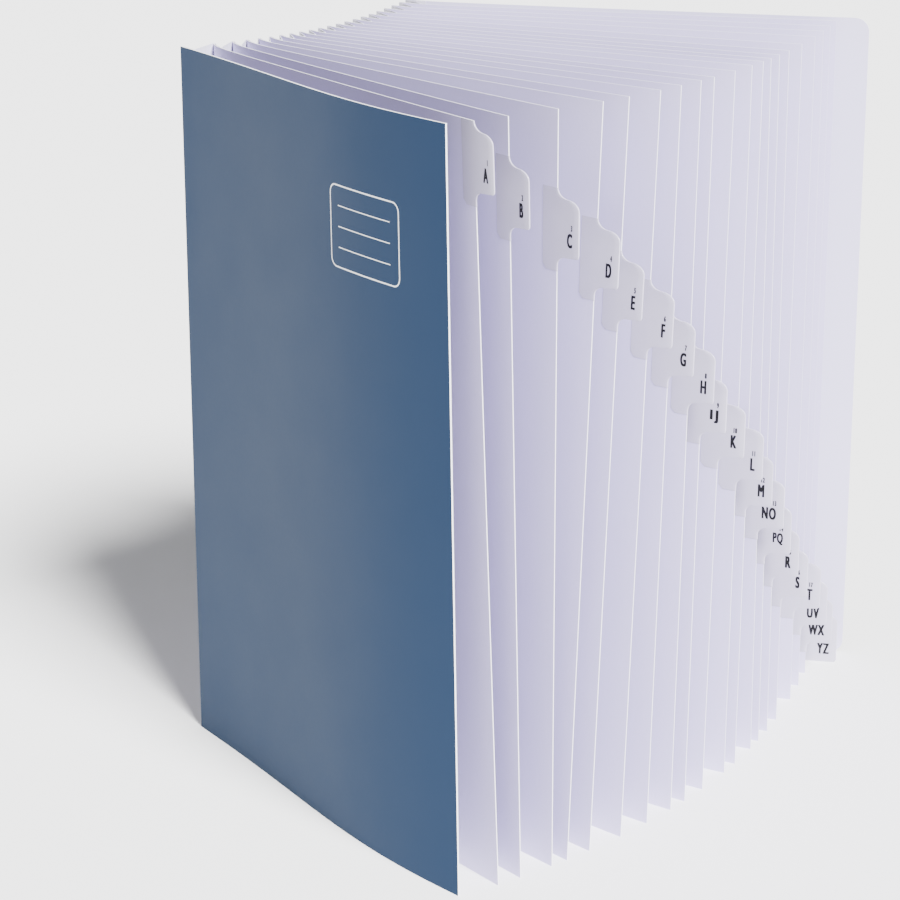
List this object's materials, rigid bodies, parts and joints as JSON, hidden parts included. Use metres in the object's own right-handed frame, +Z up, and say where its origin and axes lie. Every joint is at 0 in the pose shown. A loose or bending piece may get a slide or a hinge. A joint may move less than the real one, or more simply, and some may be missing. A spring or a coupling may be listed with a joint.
{
  "type": "alphabetical desk sorter",
  "caption": "Desk sorter that stands on end: stepped-tab index dividers in a pleated spine between a blue front cover and a white back cover, fanned open.",
  "frame": {"origin": "middle of the bounding box, at the level of the bottom edges that it stands on", "axes": "+Z up along the spine, +X from the pleated spine toward the index tabs, -Y toward the front cover"},
  "size_m": [0.2462, 0.333, 0.32],
  "materials": {
    "blue_board": "blue laminated board with a soft sheen",
    "white_board": "white laminated board",
    "divider_card": "matte white index card",
    "spine_paper": "matte white pleated paper",
    "tab_film": "clear glossy reinforcing film"
  },
  "bodies": {
    "spine_and_dividers": {"pleated_spine": "spine_paper", "divider_a": "divider_card", "divider_b": "divider_card", "divider_c": "divider_card", "divider_d": "divider_card", "divider_e": "divider_card", "divider_f": "divider_card", "divider_g": "divider_card", "divider_h": "divider_card", "divider_ij": "divider_card", "divider_k": "divider_card", "divider_l": "divider_card", "divider_m": "divider_card", "divider_no": "divider_card", "divider_pq": "divider_card", "divider_r": "divider_card", "divider_s": "divider_card", "divider_t": "divider_card", "divider_uv": "divider_card", "divider_wx": "divider_card", "divider_yz": "divider_card", "tab_film_a": "tab_film", "tab_film_b": "tab_film", "tab_film_c": "tab_film", "tab_film_d": "tab_film", "tab_film_e": "tab_film", "tab_film_f": "tab_film", "tab_film_g": "tab_film", "tab_film_h": "tab_film", "tab_film_ij": "tab_film", "tab_film_k": "tab_film", "tab_film_l": "tab_film", "tab_film_m": "tab_film", "tab_film_no": "tab_film", "tab_film_pq": "tab_film", "tab_film_r": "tab_film", "tab_film_s": "tab_film", "tab_film_t": "tab_film", "tab_film_uv": "tab_film", "tab_film_wx": "tab_film", "tab_film_yz": "tab_film"},
    "front_cover": {"front_cover": "blue_board"},
    "back_cover": {"back_cover": "white_board"}
  },
  "joints": [
    {"name": "front_cover_hinge", "type": "hinge", "parent": "spine_and_dividers", "child": "front_cover", "pos_m": [-0.11246, -0.09892, 0.16], "axis": [0, 0, -1], "range_deg": [0, 150]},
    {"name": "back_cover_hinge", "type": "hinge", "parent": "spine_and_dividers", "child": "back_cover", "pos_m": [-0.12267, 0.06935, 0.16], "axis": [0, 0, 1], "range_deg": [0, 120]}
  ]
}
